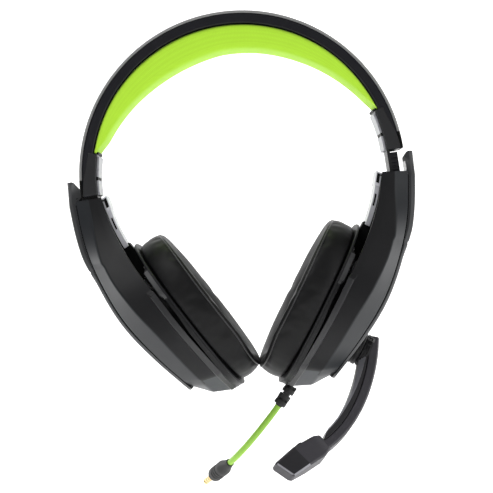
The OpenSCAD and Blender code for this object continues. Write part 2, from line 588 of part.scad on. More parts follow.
left_arm() mic_head();
left_arm() mic_capsule();
left_arm() mic_grille();
left_arm() strain_relief();
left_arm() cable();
left_arm() plug_body();
left_arm() plug_contacts();
left_arm() plug_insulators();
left_arm() terminal_board();
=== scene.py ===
import json
import math

import bmesh
import bpy
from mathutils import Matrix, Vector

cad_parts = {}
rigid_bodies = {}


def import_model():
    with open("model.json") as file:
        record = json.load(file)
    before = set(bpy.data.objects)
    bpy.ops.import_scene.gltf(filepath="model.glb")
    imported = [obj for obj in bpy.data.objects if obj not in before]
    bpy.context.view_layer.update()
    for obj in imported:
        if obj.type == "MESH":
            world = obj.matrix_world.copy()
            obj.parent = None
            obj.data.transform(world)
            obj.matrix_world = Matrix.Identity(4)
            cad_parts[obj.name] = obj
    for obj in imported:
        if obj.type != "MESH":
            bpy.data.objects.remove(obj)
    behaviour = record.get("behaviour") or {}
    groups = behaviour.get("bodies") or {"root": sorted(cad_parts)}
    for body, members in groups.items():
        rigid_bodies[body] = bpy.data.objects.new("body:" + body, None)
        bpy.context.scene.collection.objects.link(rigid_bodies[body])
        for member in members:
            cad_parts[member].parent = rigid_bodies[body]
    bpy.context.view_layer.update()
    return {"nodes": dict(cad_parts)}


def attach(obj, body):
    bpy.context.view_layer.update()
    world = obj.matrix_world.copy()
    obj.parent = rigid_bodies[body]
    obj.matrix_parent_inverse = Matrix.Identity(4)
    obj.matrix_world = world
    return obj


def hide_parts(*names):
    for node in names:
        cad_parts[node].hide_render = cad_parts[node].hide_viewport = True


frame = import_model()
MM = 0.001
scene = bpy.context.scene
scene.view_settings.view_transform = "Standard"

# ---------------------------------------------------------------- frames of the arms and cups
T = Matrix.Translation


def turn(degrees, axis):
    return Matrix.Rotation(math.radians(degrees), 4, axis)


BAND_R, BAND_IN, SHELL_T, BAND_HALF = 88.4, 81.6, 1.5, 17.0
PAD_T, PAD_ANGLE = 13.0, 74.2
CUP_A, CUP_B, CUSHION_LOW = 47.5, 40.0, -1.2
CUP = T((40, 0, -70.1)) @ turn(29.2, "Y")
PIVOT = Vector((9, 0, 0))
TOE = CUP @ T(PIVOT) @ turn(3, "Z") @ T(-PIVOT)
SET_AT = Vector((95, 0, 24))
SLIDE = {"left": T((0, 0, -11.5)), "right": Matrix.Diagonal((-1, 1, 1, 1))}
ARM = {"left": SLIDE["left"] @ T(SET_AT) @ turn(6, "Y") @ T(-SET_AT), "right": SLIDE["right"]}
HUB = ARM["left"] @ CUP @ T((29.8, 0, -13))
BOOM = HUB @ turn(-35, "X")
CABLE = ARM["left"] @ CUP @ T((7.4, -4, -48.2)) @ turn(-4, "X") @ turn(8, "Y")
I4 = Matrix.Identity(4)

# ---------------------------------------------------------------- materials


def material(name, color, rough=0.45, metal=0.0, grain=0.0, grain_size=0.25, sheen=0.0, coat=0.0, spec=0.5,
             extra=None):
    """Procedural material: fine grain as bump, slow changes of roughness, and whatever extra() adds."""
    m = bpy.data.materials.new(name)
    m.use_nodes = True
    nt = m.node_tree
    p = nt.nodes["Principled BSDF"]
    p.inputs["Base Color"].default_value = (*color, 1)
    p.inputs["Roughness"].default_value = rough
    p.inputs["Metallic"].default_value = metal
    p.inputs["Specular IOR Level"].default_value = spec
    p.inputs["Sheen Weight"].default_value = sheen
    p.inputs["Coat Weight"].default_value = coat
    tc = nt.nodes.new("ShaderNodeTexCoord")
    slow = nt.nodes.new("ShaderNodeTexNoise")
    slow.inputs["Scale"].default_value = 90
    slow.inputs["Detail"].default_value = 5
    nt.links.new(tc.outputs["Object"], slow.inputs["Vector"])
    mr = nt.nodes.new("ShaderNodeMapRange")
    mr.inputs["To Min"].default_value = rough - 0.06
    mr.inputs["To Max"].default_value = rough + 0.06
    nt.links.new(slow.outputs["Fac"], mr.inputs["Value"])
    nt.links.new(mr.outputs["Result"], p.inputs["Roughness"])
    if grain:
        fine = nt.nodes.new("ShaderNodeTexNoise")
        fine.inputs["Scale"].default_value = 1000 / grain_size
        fine.inputs["Detail"].default_value = 3
        nt.links.new(tc.outputs["Object"], fine.inputs["Vector"])
        bump = nt.nodes.new("ShaderNodeBump")
        bump.inputs["Strength"].default_value = grain
        bump.inputs["Distance"].default_value = grain_size * 0.2 * MM
        nt.links.new(fine.outputs["Fac"], bump.inputs["Height"])
        nt.links.new(bump.outputs["Normal"], p.inputs["Normal"])
    if extra:
        extra(nt, p, tc)
    return m


def knit(nt, p, pitch, dark, strength):
    """Knitted rows: two crossed waves in the surface's own directions, held in a UV map in millimetres."""
    uv = nt.nodes.new("ShaderNodeUVMap")
    uv.uv_map = "mm"
    sep = nt.nodes.new("ShaderNodeSeparateXYZ")
    nt.links.new(uv.outputs["UV"], sep.inputs["Vector"])

    def op(kind, a, b):
        m = nt.nodes.new("ShaderNodeMath")
        m.operation = kind
        for i, v in enumerate((a, b)):
            if isinstance(v, (int, float)):
                m.inputs[i].default_value = v
            else:
                nt.links.new(v, m.inputs[i])
        return m.outputs[0]

    def wave(value, scale):
        return op("SINE", op("MULTIPLY", value, scale), 0)

    k = 2 * math.pi / pitch
    a = wave(sep.outputs["X"], k)
    b = wave(op("ADD", sep.outputs["Y"], op("MULTIPLY", op("ABSOLUTE", a, 0), 0.35 * pitch)), k * 0.8)
    h = op("MULTIPLY", op("ADD", a, 1.0), op("ADD", b, 1.0))
    h = op("MULTIPLY", h, 0.25)
    bump = nt.nodes.new("ShaderNodeBump")
    bump.inputs["Strength"].default_value = strength
    bump.inputs["Distance"].default_value = 0.25 * pitch * MM
    nt.links.new(h, bump.inputs["Height"])
    nt.links.new(bump.outputs["Normal"], p.inputs["Normal"])
    mix = nt.nodes.new("ShaderNodeMix")
    mix.data_type = "RGBA"
    base = p.inputs["Base Color"].default_value[:]
    mix.inputs["A"].default_value = (base[0] * dark, base[1] * dark, base[2] * dark, 1)
    mix.inputs["B"].default_value = base
    nt.links.new(h, mix.inputs["Factor"])
    nt.links.new(mix.outputs["Result"], p.inputs["Base Color"])


def hide(nt, p, tc):
    """Leatherette: fine cell grain as a bump."""
    vor = nt.nodes.new("ShaderNodeTexVoronoi")
    vor.feature = "SMOOTH_F1"
    vor.inputs["Scale"].default_value = 1500
    nt.links.new(tc.outputs["Object"], vor.inputs["Vector"])
    bump = nt.nodes.new("ShaderNodeBump")
    bump.inputs["Strength"].default_value = 0.22
    bump.inputs["Distance"].default_value = 0.06 * MM
    bump.invert = True
    nt.links.new(vor.outputs["Distance"], bump.inputs["Height"])
    nt.links.new(bump.outputs["Normal"], p.inputs["Normal"])


def brushed(nt, p, tc):
    """Long fine scratches along z."""
    mp = nt.nodes.new("ShaderNodeMapping")
    mp.inputs["Scale"].default_value = (9000, 9000, 120)
    nt.links.new(tc.outputs["Object"], mp.inputs["Vector"])
    n = nt.nodes.new("ShaderNodeTexNoise")
    n.inputs["Scale"].default_value = 1
    nt.links.new(mp.outputs["Vector"], n.inputs["Vector"])
    bump = nt.nodes.new("ShaderNodeBump")
    bump.inputs["Strength"].default_value = 0.15
    bump.inputs["Distance"].default_value = 0.02 * MM
    nt.links.new(n.outputs["Fac"], bump.inputs["Height"])
    nt.links.new(bump.outputs["Normal"], p.inputs["Normal"])


M = {
    "black": material("satin_black_plastic", (0.0058, 0.0058, 0.0068), 0.42, grain=0.25, spec=0.28),
    # the housing's black made lighter on its facet: painted light where the facet faces the lamps
    "facet": material("facet_painted_light", (0.0128, 0.0146, 0.0172), 0.40, grain=0.22, spec=0.32),
    # lighter black on the housing's lip: a painted highlight
    "lip": material("lip_painted_highlight", (0.020, 0.020, 0.022), 0.34, grain=0.2, spec=0.5),
    # lighter bluish grey on the housing's lower end: painted light reflected up from the floor
    "end_facet": material("lower_facet_painted_light", (0.030, 0.034, 0.039), 0.42, grain=0.22, spec=0.4),
    "band": material("band_black_plastic", (0.0032, 0.0032, 0.006), 0.38, grain=0.2, spec=0.35),
    "rim": material("band_grey_plastic", (0.20, 0.202, 0.20), 0.36, grain=0.15),
    "trim": material("trim_plastic", (0.022, 0.023, 0.025), 0.30, grain=0.08, coat=0.15),
    # the trim plastic made lighter for the blade's edge: a painted highlight
    "trim_edge": material("trim_edge_painted_highlight", (0.030, 0.031, 0.033), 0.34, grain=0.08),
    "plate": material("bright_plate", (0.36, 0.36, 0.39), 0.42, grain=0.12, grain_size=0.12),
    "silver": material("silver_paint", (0.60, 0.60, 0.64), 0.42, grain=0.12, grain_size=0.12),
    "gunmetal": material("dark_steel", (0.010, 0.010, 0.011), 0.38, spec=0.3, extra=brushed),
    "steel": material("brushed_steel", (0.55, 0.55, 0.57), 0.32, 1.0, extra=brushed),
    "lime": material("lime_fabric", (0.47, 0.82, 0.045), 0.82, sheen=0.1, spec=0.2,
                     extra=lambda nt, p, tc: knit(nt, p, 0.8, 0.9, 0.22)),
    "leather": material("black_leatherette", (0.0036, 0.0036, 0.004), 0.48, spec=0.22, extra=hide),
    # lighter than the leatherette: a painted highlight line along the pad's edge
    "welt": material("leatherette_piping_painted_highlight", (0.028, 0.028, 0.030), 0.36, spec=0.5, extra=hide),
    "mesh": material("black_speaker_cloth", (0.008, 0.008, 0.009), 0.85, sheen=0.08, spec=0.15,
                     extra=lambda nt, p, tc: knit(nt, p, 1.4, 0.3, 0.9)),
    "rubber": material("black_rubber", (0.010, 0.010, 0.010), 0.58, grain=0.35),
    "cable": material("lime_rubber", (0.30, 0.58, 0.06), 0.46, grain=0.2),
    "boom": material("boom_plastic", (0.030, 0.028, 0.035), 0.44, grain=0.25),
    # light grey copy of the boom colour: a painted highlight on the lit faces of the boom and mic head
    "boom_light_painted_highlight": material("boom_painted_highlight_face", (0.26, 0.26, 0.285), 0.40, grain=0.2),
    # darker than the boom plastic: painted shade on the boom's inner half and on the mic head's slanted end
    "boom_dark_painted_shade": material("boom_dark_painted_shade_face", (0.009, 0.0085, 0.011), 0.42, grain=0.25),
    "ring": material("gloss_black_plastic", (0.007, 0.007, 0.008), 0.48, spec=0.25),
    "bracket": material("bracket_grey_plastic", (0.060, 0.061, 0.064), 0.42, grain=0.3),
    "cheek": material("end_housing_plastic", (0.013, 0.013, 0.0145), 0.42, grain=0.25, spec=0.35),
    # deep black for dark parts, and for pieces that stand in as painted shade in gaps and openings
    "hollow": material("deep_black_and_painted_shade", (0.003, 0.003, 0.003), 0.6, spec=0.12),
    "brass": material("plated_contacts", (0.80, 0.60, 0.28), 0.22, 1.0),
    "board": material("green_board", (0.02, 0.16, 0.05), 0.4),
    "film": material("driver_film", (0.55, 0.42, 0.2), 0.25, coat=0.4),
}

# ---------------------------------------------------------------- mesh helpers


def make(name, verts, faces, mats, place=I4, index=None, angle=32, uv=None, width=0.0):
    """A piece from millimetre vertices, with faces shaded smooth up to the given angle."""
    me = bpy.data.meshes.new(name)
    me.from_pydata([(place @ Vector(v)) * MM for v in verts], [], faces)
    for m in mats:
        me.materials.append(M[m])
    if index:
        me.polygons.foreach_set("material_index", index)
    if uv:
        layer = me.uv_layers.new(name="mm")
        for loop in me.loops:
            layer.data[loop.index].uv = uv[loop.vertex_index]
    bm = bmesh.new()
    bm.from_mesh(me)
    bmesh.ops.recalc_face_normals(bm, faces=bm.faces)
    for f in bm.faces:
        f.smooth = True
    for e in bm.edges:
        e.smooth = len(e.link_faces) == 2 and e.calc_face_angle(0) < math.radians(angle)
    bm.to_mesh(me)
    bm.free()
    o = bpy.data.objects.new(name, me)
    scene.collection.objects.link(o)
    if width:
        b = o.modifiers.new("edges", "BEVEL")
        b.width = width * MM
        b.segments = 2
        b.limit_method = "ANGLE"
        b.angle_limit = math.radians(angle)
        b.harden_normals = False
    return o


def put(obj, body, *nodes):
    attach(obj, body)
    if nodes:
        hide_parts(*nodes)
    return obj


def lerp(a, b, t):
    return a + (b - a) * t


def smooth(e0, e1, v):
    t = min(1.0, max(0.0, (v - e0) / (e1 - e0)))
    return t * t * (3 - 2 * t)


def through(k, z):
    """Smooth curve through knots [z, value], which run from the top down."""
    i = 0
    while i < len(k) - 2 and z < k[i + 1][0]:
        i += 1

    def slope(j):
        a, b = k[max(0, j - 1)], k[min(len(k) - 1, j + 1)]
        return (b[1] - a[1]) / (b[0] - a[0])

    h = k[i + 1][0] - k[i][0]
    t = (z - k[i][0]) / h
    return ((2 * t**3 - 3 * t * t + 1) * k[i][1] + (t**3 - 2 * t * t + t) * h * slope(i)
            + (3 * t * t - 2 * t**3) * k[i + 1][1] + (t**3 - t * t) * h * slope(i + 1))


def bez(p, t):
    shares = ((1 - t)**3, 3 * t * (1 - t)**2, 3 * t * t * (1 - t), t**3)
    return sum((Vector(q) * w for q, w in zip(p, shares)), Vector([0.0] * len(p[0])))


def bez_dir(p, t):
    a, b, c, d = (Vector(q) for q in p)
    return (3 * (1 - t)**2 * (b - a) + 6 * t * (1 - t) * (c - b) + 3 * t * t * (d - c)).normalized()


def rings(loops, capped=True):
    """Quads over a stack of equal closed loops of points, with a face at each end when capped."""
    n = len(loops[0])
    last = (len(loops) - 1) * n
    verts = [p for loop in loops for p in loop]
    faces = []
    for k in range(len(loops) - 1):
        for i in range(n):
            j = (i + 1) % n
            faces.append((k * n + i, k * n + j, (k + 1) * n + j, (k + 1) * n + i))
    if capped:
        faces += [tuple(range(n))[::-1], tuple(range(last, last + n))]
    return verts, faces


def end_strips(loops):
    """Narrow faces from side to side over the first and the last of a stack of mirrored loops."""
    n = len(loops[0])
    faces = []
    for base in (0, (len(loops) - 1) * n):
        for i in range(n // 2 - 1):
            faces.append((base + i, base + i + 1, base + n - 2 - i, base + n - 1 - i))
    return faces


def soften(loops, radii, n=3):
    """Rounds the corners between successive loops: each loop with a radius becomes n + 1 loops."""
    out = []
    for k, (loop, r) in enumerate(zip(loops, radii)):
        if not r or k in (0, len(loops) - 1):
            out.append(loop)
            continue
        made = [[] for _ in range(n + 1)]
        for i, p in enumerate(loop):
            p, a, b = Vector(p), Vector(loops[k - 1][i]), Vector(loops[k + 1][i])
            da, db = a - p, b - p
            pa = p + da * min(0.48, r / max(da.length, 1e-6))
            pb = p + db * min(0.48, r / max(db.length, 1e-6))
            for s in range(n + 1):
                t = s / n
                made[s].append(tuple(pa * (1 - t)**2 + p * 2 * t * (1 - t) + pb * t * t))
        out += made
    return out


def mirrored(loop):
    """One side of a symmetric loop, [x, half width, z] from top to bottom, made into the whole loop."""
    return [(x, h, z) for x, h, z in loop] + [(x, -h, z) for x, h, z in reversed(loop)]


def oval(a, b, n=120, e=2.35):
    pts = []
    for i in range(n):
        c, s = math.cos(2 * math.pi * i / n), math.sin(2 * math.pi * i / n)
        pts.append((b * math.copysign(abs(c)**(2 / e), c), a * math.copysign(abs(s)**(2 / e), s)))
    return pts


def even(pts, n):
    """n points evenly spaced round a closed outline."""
    closed = [Vector(p) for p in pts] + [Vector(pts[0])]
    lens = [0.0]
    for a, b in zip(closed, closed[1:]):
        lens.append(lens[-1] + (b - a).length)
    out, j = [], 0
    for i in range(n):
        d = lens[-1] * i / n
        while lens[j + 1] < d:
            j += 1
        t = (d - lens[j]) / max(lens[j + 1] - lens[j], 1e-9)
        out.append(closed[j].lerp(closed[j + 1], t))
    return out


def revolve(profile, n=48):
    """Rings about +z from (radius, z) pairs."""
    turns = [2 * math.pi * i / n for i in range(n)]
    return rings([[(r * math.cos(q), r * math.sin(q), z) for q in turns] for r, z in profile])


def tube(points, radius, n=16, closed=False):
    """Round tube through points, with frames carried along so it doesn't twist."""
    pts = [Vector(p) for p in points]
    m = len(pts)
    turns = [2 * math.pi * k / n for k in range(n)]
    loops, normal = [], None
    for i, p in enumerate(pts):
        a = pts[(i - 1) % m] if closed or i else pts[i]
        b = pts[(i + 1) % m] if closed or i < m - 1 else pts[i]
        d = (b - a).normalized()
        if normal is None:
            normal = d.orthogonal().normalized()
        normal = (normal - d * normal.dot(d)).normalized()
        w = d.cross(normal)
        loops.append([tuple(p + radius * (math.cos(q) * normal + math.sin(q) * w)) for q in turns])
    if closed:
        loops.append(loops[0])
        return rings(loops, capped=False)
    return rings(loops)


def cut(obj, point, normal, place, slot=0):
    """Takes off what lies beyond a plane given in the frame of place, and closes the cut with a flat face."""
    bm = bmesh.new()
    bm.from_mesh(obj.data)
    co = (place @ Vector(point)) * MM
    no = (place.to_3x3() @ Vector(normal)).normalized()
    res = bmesh.ops.bisect_plane(bm, geom=bm.verts[:] + bm.edges[:] + bm.faces[:], plane_co=co, plane_no=no,
                                 clear_outer=True)
    edges = [g for g in res["geom_cut"] if isinstance(g, bmesh.types.BMEdge)]
    for f in bmesh.ops.holes_fill(bm, edges=edges, sides=0)["faces"]:
        f.smooth = False
        f.material_index = slot
        for e in f.edges:
            e.smooth = False
    bm.to_mesh(obj.data)
    bm.free()


CLOTH_FRAMES, CLOTH_STIFFNESS = 18, 12.0


def puff(obj, pinned, pressure, shrink, cap):
    """Runs a short cloth simulation on a piece and keeps the result, each point moved by at most cap mm."""
    start = [v.co.copy() for v in obj.data.vertices]
    group = obj.vertex_groups.new(name="pin")
    for i, w in pinned.items():
        group.add([i], w, "REPLACE")
    c = obj.modifiers.new("cloth", "CLOTH")
    s = c.settings
    s.quality = 6
    s.mass = 0.15
    s.tension_stiffness = s.compression_stiffness = s.shear_stiffness = CLOTH_STIFFNESS
    s.bending_stiffness = 0.3
    s.use_pressure = True
    s.uniform_pressure_force = pressure
    s.shrink_min = shrink
    s.vertex_group_mass = "pin"
    s.pin_stiffness = 1.0
    s.effector_weights.gravity = 0.0
    c.collision_settings.use_collision = False
    c.point_cache.frame_start, c.point_cache.frame_end = 1, CLOTH_FRAMES
    for f in range(1, CLOTH_FRAMES + 1):
        scene.frame_set(f)
    got = obj.evaluated_get(bpy.context.evaluated_depsgraph_get()).data
    moved = [v.co.copy() for v in got.vertices]
    obj.modifiers.remove(c)
    scene.frame_set(1)
    for v, a, b in zip(obj.data.vertices, start, moved):
        d = b - a
        if d.length > cap * MM:
            d = d.normalized() * cap * MM
        v.co = a + d
    m = obj.modifiers.new("finer", "SUBSURF")
    m.levels = m.render_levels = 1


# ---------------------------------------------------------------- arms
# Side profiles of the arm in the cup's frame, as [z, x] knots, and half widths of the trim plate
INNER = [[79.0, -0.8], [61.9, 4.4], [44.0, 7.0], [19.4, 7.6], [-5.2, 7.5], [-29.8, 6.3], [-47.8, 5.1]]
CREASE = [[82.2, 5.4], [64.1, 13.9], [44.6, 21.0], [20.9, 21.9], [-0.7, 19.9], [-42.1, 16.5]]
SEAT = [[85.4, 11.8], [64.3, 21.7], [44.4, 27.2], [18.7, 30.0], [-6.9, 28.0], [-32.2, 23.7]]
PLATE_HALF = [[94.8, 7.6], [89.6, 9.3], [82.2, 10.6], [64.2, 12.4], [44.3, 16.5], [18.6, 24.5], [-1.0, 27],
              [-20.7, 25.5], [-33.5, 21.5]]
WALL, TIP_CLEAR = 2.0, 88.8
TIP_TOP = {"left": -13.1, "right": -1.6}


def outline(top, end, half, e, n_up=110, n_low=64):
    """(half width, z) down one side: even steps of z above the middle, even steps of length below it."""
    out = [(half(lerp(top, 0, i / n_up)), lerp(top, 0, i / n_up)) for i in range(n_up)]
    low = [end * math.sin(math.pi * i / 600)**(2 / e) for i in range(300)]
    low = [Vector((half(z), z)) for z in low] + [Vector((0.5, end))]
    lens = [0.0]
    for a, b in zip(low, low[1:]):
        lens.append(lens[-1] + (b - a).length)
    j = 0
    for i in range(n_low + 1):
        d = lens[-1] * i / n_low
        while j < len(low) - 2 and lens[j + 1] < d:
            j += 1
        out.append(tuple(low[j].lerp(low[j + 1], min(1, (d - lens[j]) / max(lens[j + 1] - lens[j], 1e-9)))))
    return out


EAR_TOP = [[90, 15.4], [74, 16.2], [58, 21.0], [43, 29.0], [28, 35.6], [14, 38.9], [0, 40.0], [-12, 40.0]]


def ear_half(z, b, end, e):
    """Half width of the arm: the neck widens gradually to the ear, and the lower end has straight edges."""
    if z >= 0:
        return through(EAR_TOP, z) * b / CUP_B
    corner = 0.75 * end
    h = b * (1 - (max(z, corner) / end)**e)**(1 / e)
    return h if z > corner else lerp(h, 0.34 * b, (z - corner) / (end - corner))


def lip(z):
    return 1 - smooth(19.5, 22.0, z)


def crease_step(z):
    """The facet line steps outwards a little where the trim plate has its kink."""
    return 1.1 * smooth(46.5, 50.5, z) * (1 - smooth(60, 74, z))


def rim_loop(x_off, grow, end):
    return [(through(INNER, z) + x_off - 0.6 * lip(z), h, z)
            for h, z in outline(84, end, lambda z: ear_half(z, CUP_B, end, 2.35) + grow * lip(z), 2.35)]


def crease_loop(inset):
    end = -42.1 + inset
    return [(through(CREASE, z) + crease_step(z) - inset * 0.4, h, z)
            for h, z in outline(90, end, lambda z: max(0.5, ear_half(z, CUP_B - 0.3, end, 2.4) - inset), 2.4)]


def seat_loop(x_off, inset):
    end = -32.2 + inset

    def half(z):
        h = through(PLATE_HALF, min(z, 88)) + 1.1
        return max(0.5, h * (max(0.0, 1 - (z / end)**9)**(1 / 9) if z < 0 else 1) - inset)

    return [(through(SEAT, z) + x_off, h, z) for h, z in outline(95, end, half, 9)]


def mouth_loop(inset):
    end = -47.8 + inset
    return [(through(INNER, z), h, z)
            for h, z in outline(84, end, lambda z: max(0.5, ear_half(z, CUP_B, end, 2.35) - inset), 2.35)]


def housing(side):
    place = ARM[side] @ CUP
    loops = [seat_loop(-WALL, WALL), crease_loop(WALL), mouth_loop(WALL), rim_loop(0, 1.3, -47.8),
             rim_loop(3.2, 1.3, -47.5), rim_loop(3.6, 0, -46.9), crease_loop(0), seat_loop(0, 0)]
    radii = [0, 0, 0.3, 0.45, 0.4, 0.2, 0.9, 0.5]
    loops = soften([mirrored(loop) for loop in loops], radii)
    verts, faces = rings(loops, capped=False)
    faces += end_strips(loops)

    def slot(k, z):
        """Lower end, facet, lip or plain body, by the face's row and height; the first three are painted light:
        floor light on the lower end, lamp light on the facet, a highlight on the lip.
        """
        if k > 13 and z < -35.8:
            return 3
        if k >= len(loops) - 4:
            return 1
        return 2 if 6 <= k <= 12 and z < 19 else 0

    index = [slot(k, p[2]) for k in range(len(loops) - 1) for p in loops[k]]
    index += [0] * (len(faces) - len(index))
    o = make(f"{side}_housing_shell", verts, faces, ["black", "facet", "lip", "end_facet"], place, index, 28)
    cut(o, (0, 0, -1.2), (0, 0, 1), ARM[side])
    put(o, f"{side}_arm", f"{side}_housing", f"{side}_arm_frame")
    # the floor of the neck round the slider, deep black as painted shade inside the opening
    floor = [(76.6, -14.9), (84.2, -15.1), (91.3, -11.3), (91.3, 11.3), (84.2, 15.1), (76.6, 14.9)]
    floor, shut = rings([[(x, y, z) for x, y in floor] for z in (-3.4, -2.6)])
    put(make(f"{side}_neck_floor", floor, shut, ["hollow"], ARM[side]), f"{side}_arm")
    if side == "right":
        # closes the foot of the blade's tip in deep black, painted shadow between blade and band; the left
        # arm's set leaves no room for one
        sect = ((88.55, -10.0), (91.4, -10.0), (91.4, 10.0), (88.55, 10.0))
        v, f = rings([[(x, y, z) for x, y in sect] for z in (-3.0, 0.6)])
        put(make("right_tip_root", v, f, ["hollow"], ARM[side]), "right_arm")
    # the cover behind the cup
    disc = oval(CUP_A - 7, CUP_B - 4)
    v, f = rings([[(x, y, z) for y, z in disc] for x in (12.0, 13.6)])
    put(make(f"{side}_cover_plate", v, f, ["hollow"], place), f"{side}_arm")


def neck_strip(side):
    """Bright strip down the inside of the neck, a wider clip at its top, and dark sheets for their slot and
    windows, painted shade in those openings.
    """
    # offsets of the two faces from the inner profile, half width, top and bottom
    parts = {"strip": (0, -2.8, 11.6, 72.2, 49.0), "clip": (0, -3.2, 13.2, 77.9, 70.6),
             "windows": (-0.9, -2.6, 13.4, 77.0, 72.2), "slot": (-1.1, -2.0, 11.75, 66.5, 60.0)}
    steps = 24
    for name, (x0, x1, half, z0, z1) in parts.items():
        heights = [lerp(z0, z1, i / steps) for i in range(steps + 1)]
        loops = [mirrored([(through(INNER, z) + x, half, z) for z in heights]) for x in (x0, x1)]
        verts, faces = rings(loops, capped=False)
        faces += end_strips(loops)
        mat, width = ("silver", 0.2) if name in ("strip", "clip") else ("hollow", 0)
        o = make(f"{side}_neck_{name}", verts, faces, [mat], ARM[side] @ CUP, None, 30, width=width)
        put(o, f"{side}_arm", *([f"{side}_neck_plate"] if name == "strip" else []))


def plate_thick(z):
    notch = 0.35 * smooth(49.2, 49.9, z) * (1 - smooth(50.6, 51.3, z))
    return lerp(2.5, 4.3, smooth(40, 62, z)) + 0.4 * smooth(62, 80, z) - 0.45 * smooth(10, -25, z) - notch


def trim(side):
    place = ARM[side] @ CUP

    def half(z):
        return through(PLATE_HALF, z) * (max(0.0, 1 - (z / -33.6)**14)**(1 / 14) if z < 0 else 1)

    sides = outline(100, -33.6, half, 14, 150)

    def inner(z):
        tip = (48.9 - z * math.sin(math.radians(29.2))) / math.cos(math.radians(29.2))
        return min(lerp(through(SEAT, min(z, 85.4)) + 0.6, tip, smooth(84.3, 85.2, z)), face(z) - 0.6)

    def face(z):
        return through(SEAT, min(z, 85.4)) + plate_thick(z) - max(0, z - 85.4) * 0.64

    loops = [[(inner(z), h, z) for h, z in sides],
             [(face(z) - 1.5 - 0.8 * smooth(47, 51, z), h, z) for h, z in sides],
             [(face(z) - 0.1, max(0.6, h - 1.5), z) for h, z in sides],
             [(face(z) + 0.15, max(0.5, h * 0.72), z) for h, z in sides],
             [(face(z) + 0.55, max(0.4, h * 0.3), z) for h, z in sides]]
    loops = soften([mirrored(loop) for loop in loops], [0, 0.25, 0.5, 0, 0])
    verts, faces = rings(loops, capped=False)
    faces += end_strips(loops)
    # the rounded edge rows take the lighter colour, a painted highlight
    index = [1 if 1 <= k <= 6 else 0 for k in range(len(loops) - 1) for _ in loops[k]]
    index += [0] * (len(faces) - len(index))
    o = make(f"{side}_trim_blade", verts, faces, ["trim", "trim_edge", "hollow"], place, index, 28)
    # the tip is cut off flat, then on a steep slant down to the band; the slanted face is deep black, painted
    # shade
    cut(o, (94, 0, 9.9), (0, 0, 1), ARM[side])
    cut(o, (92.9, 0, 9.9), (-0.82, 0, 0.57), ARM[side], slot=2)
    # above the housing the blade keeps clear of the band
    bm = bmesh.new()
    bm.from_mesh(o.data)
    lim = (TIP_CLEAR + 0.1) * MM
    top = TIP_TOP[side] * MM
    for v in bm.verts:
        if v.co.z > top and abs(v.co.x) < lim:
            w = smooth(top, top + 1.2 * MM, v.co.z)
            v.co.x = math.copysign(lerp(abs(v.co.x), lim, w), v.co.x)
    bm.to_mesh(o.data)
    bm.free()
    put(o, f"{side}_arm", f"{side}_trim_plate")
    # dark layer that the plate stands on, painted shade in the seam between plate and housing
    low = outline(84, -33.2, lambda z: half(z) - 0.45, 14, 60)
    layers = [mirrored([(through(SEAT, z) + x, max(0.4, h), z) for h, z in low]) for x in (-0.4, 0.75)]
    v, f = rings(layers, capped=False)
    put(make(f"{side}_trim_seam", v, f, ["hollow"], place), f"{side}_arm")


for side in ("left", "right"):
    housing(side)
    neck_strip(side)
    trim(side)

# ---------------------------------------------------------------- ear cups


def baffle(side):
    """Ring plate: a thin polished flange under the cushion, a stepped body behind it and a grey bracket."""
    n = 160
    rim = [Vector(p) for p in even(oval(CUP_A, CUP_B), n)]

    def depth(z):
        return (1.5 + 2.9 * smooth(35.5, 33.5, z) - 1.1 * smooth(17.5, 15.0, z) + 0.8 * smooth(4, -10, z)
                + 0.4 * smooth(-20, -34, z))

    def inset(z):
        return 1.2 + 1.6 * smooth(36, 34, z) * smooth(14, 17, z) - 0.5 * smooth(0, -20, z)

    def lug(z):
        return -1.5 * smooth(-25, -40, z)

    def body(z):
        return lerp(inset(z), 0.3 + lug(z), smooth(-10, -24, z))

    def ring(x, shrink):
        """The rim drawn in by shrink(z), at depth x, which is a number or a function of z."""
        return [(x(p.y) if callable(x) else x, p.x * (1 - shrink(p.y) / CUP_B), p.y * (1 - shrink(p.y) / CUP_A))
                for p in rim]

    loops = [ring(-0.05, lambda z: 9.0), ring(-0.05, lambda z: 0.35), ring(0.3, lug), ring(0.95, lug),
             ring(1.2, lambda z: 0.25 + lug(z)), ring(1.25, body), ring(lambda z: depth(z) - 0.5, body),
             ring(depth, lambda z: inset(z) + 0.5 + lug(z)), ring(depth, lambda z: inset(z) + 8.0),
             ring(3.0, lambda z: 19.0)]
    verts, faces = rings(loops, capped=False)
    index = []
    for k in range(len(loops) - 1):
        for i in range(n):
            z = rim[i].y
            index.append(0 if k < 5 else (2 if 15.5 < z < 35 else 1))
    o = make(f"{side}_ring_plate", verts, faces, ["ring", "black", "bracket"], ARM[side] @ TOE, index, 40)
    put(o, f"{side}_cup", f"{side}_baffle")


